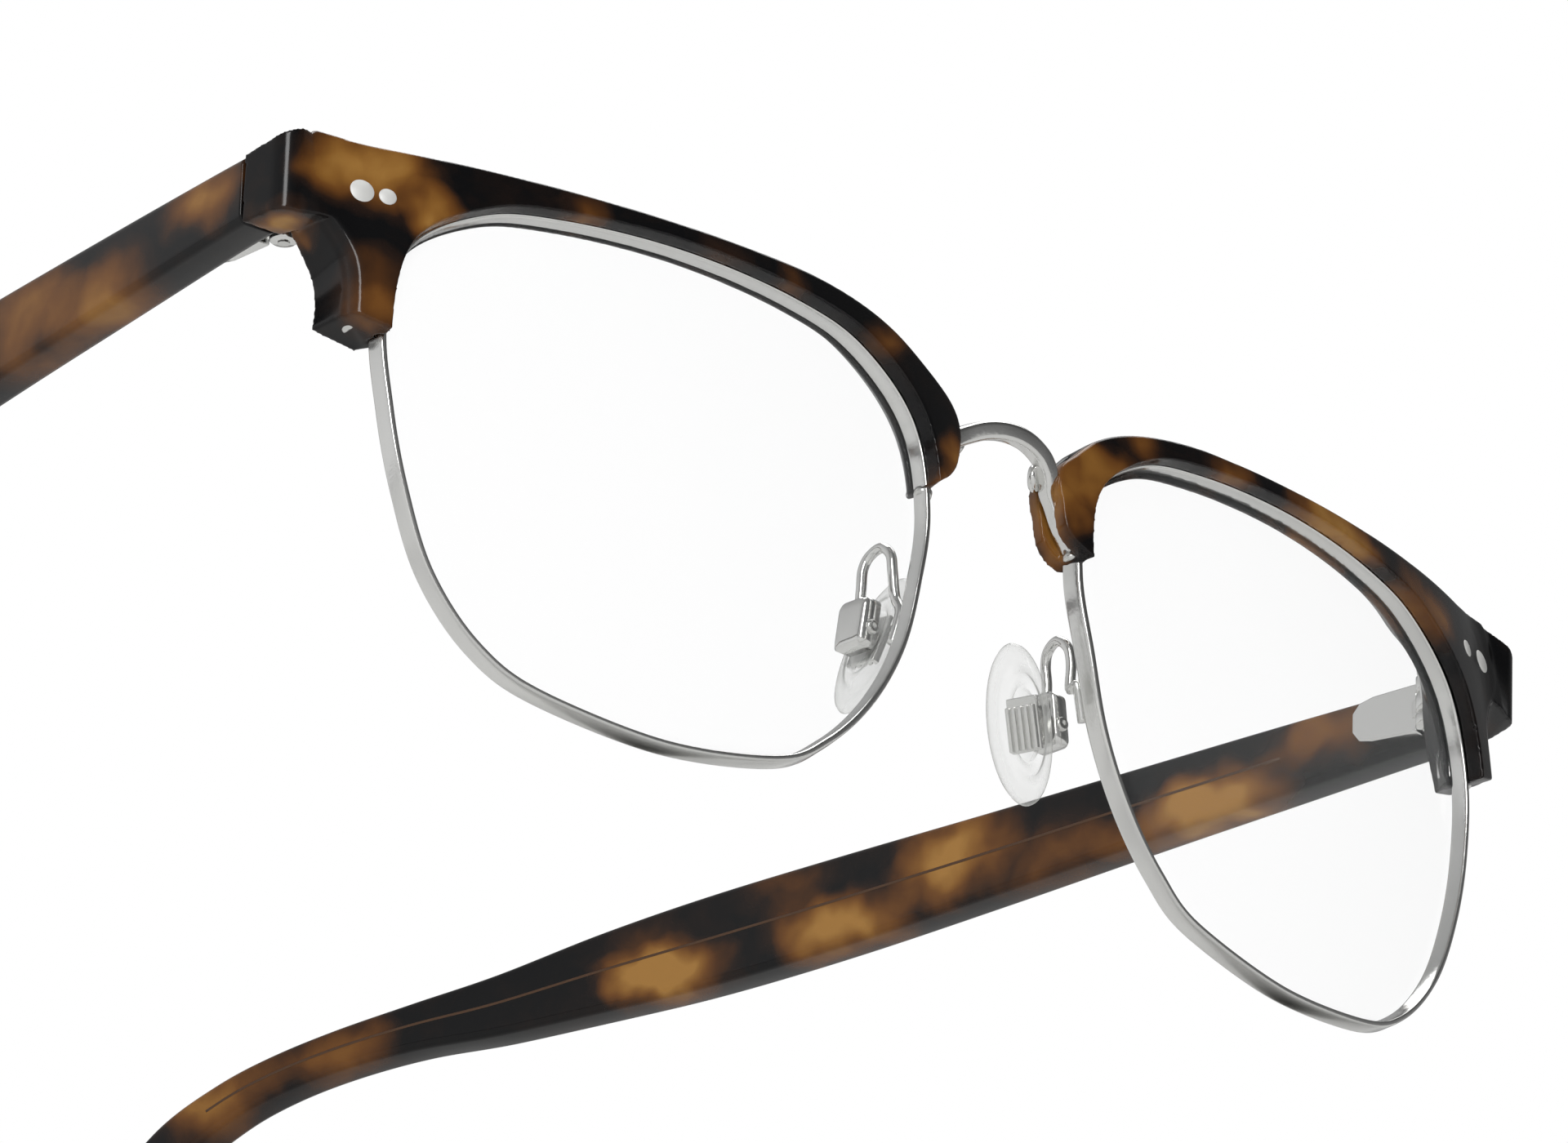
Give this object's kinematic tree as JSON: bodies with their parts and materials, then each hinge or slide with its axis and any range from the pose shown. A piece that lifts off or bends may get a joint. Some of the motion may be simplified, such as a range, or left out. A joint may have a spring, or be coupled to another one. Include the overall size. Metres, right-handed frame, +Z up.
{
  "type": "half rim eyeglasses",
  "caption": "Half rim browline eyeglasses: acetate brows riveted over metal rims, arched bridge, rocking nose pads and folding temples.",
  "frame": {"origin": "middle of the base of the bounding box of the glasses, standing open on the rims and the temple tips", "axes": "+X to the wearer's left, +Y from the front to the temple tips, +Z up; the plane X = 0 is the plane of symmetry"},
  "size_m": [0.1386, 0.1538, 0.0432],
  "materials": {
    "acetate": "polished tortoise acetate, near black with brown and amber patches",
    "frame_metal": "polished nickel silver",
    "screw_metal": "turned steel screws",
    "rivet": "satin light grey rivet heads",
    "lens": "clear, polished, uncoloured",
    "pad": "clear soft silicone, smooth",
    "pad_metal": "plated insert of the nose pad"
  },
  "bodies": {
    "front": {"left_brow": "acetate", "right_brow": "acetate", "left_eyewire": "frame_metal", "right_eyewire": "frame_metal", "left_lens": "lens", "right_lens": "lens", "left_closing_block_upper": "frame_metal", "right_closing_block_upper": "frame_metal", "left_closing_block_lower": "frame_metal", "right_closing_block_lower": "frame_metal", "left_closing_screw": "screw_metal", "right_closing_screw": "screw_metal", "left_brow_screw": "screw_metal", "right_brow_screw": "screw_metal", "left_hinge_front_leaf": "frame_metal", "right_hinge_front_leaf": "frame_metal", "left_hinge_screw": "screw_metal", "right_hinge_screw": "screw_metal", "left_pad_arm": "frame_metal", "right_pad_arm": "frame_metal", "left_pad_box": "frame_metal", "right_pad_box": "frame_metal", "left_pad_screw": "screw_metal", "right_pad_screw": "screw_metal", "left_large_rivet": "rivet", "right_large_rivet": "rivet", "left_small_rivet": "rivet", "right_small_rivet": "rivet", "bridge": "frame_metal"},
    "left_arm": {"left_temple": "acetate", "left_temple_core": "frame_metal", "left_hinge_temple_leaf": "frame_metal"},
    "right_arm": {"right_temple": "acetate", "right_temple_core": "frame_metal", "right_hinge_temple_leaf": "frame_metal"},
    "left_pad": {"left_nose_pad": "pad", "left_pad_insert": "pad_metal"},
    "right_pad": {"right_nose_pad": "pad", "right_pad_insert": "pad_metal"}
  },
  "joints": [
    {"name": "left_temple_hinge", "type": "hinge", "parent": "front", "child": "left_arm", "pos_m": [0.06395, -0.06031, 0.03771], "axis": [0, 0.0438, 0.999], "range_deg": [0, 71]},
    {"name": "right_temple_hinge", "type": "hinge", "parent": "front", "child": "right_arm", "pos_m": [-0.06395, -0.06031, 0.03771], "axis": [0, -0.0438, -0.999], "range_deg": [0, 80]},
    {"name": "left_pad_rock", "type": "hinge", "parent": "front", "child": "left_pad", "pos_m": [0.011, -0.0702, 0.01772], "axis": [0, 0.999, -0.0438], "range_deg": [-10, 10]},
    {"name": "right_pad_rock", "type": "hinge", "parent": "front", "child": "right_pad", "pos_m": [-0.011, -0.0702, 0.01772], "axis": [0, -0.999, 0.0438], "range_deg": [-10, 10]}
  ]
}
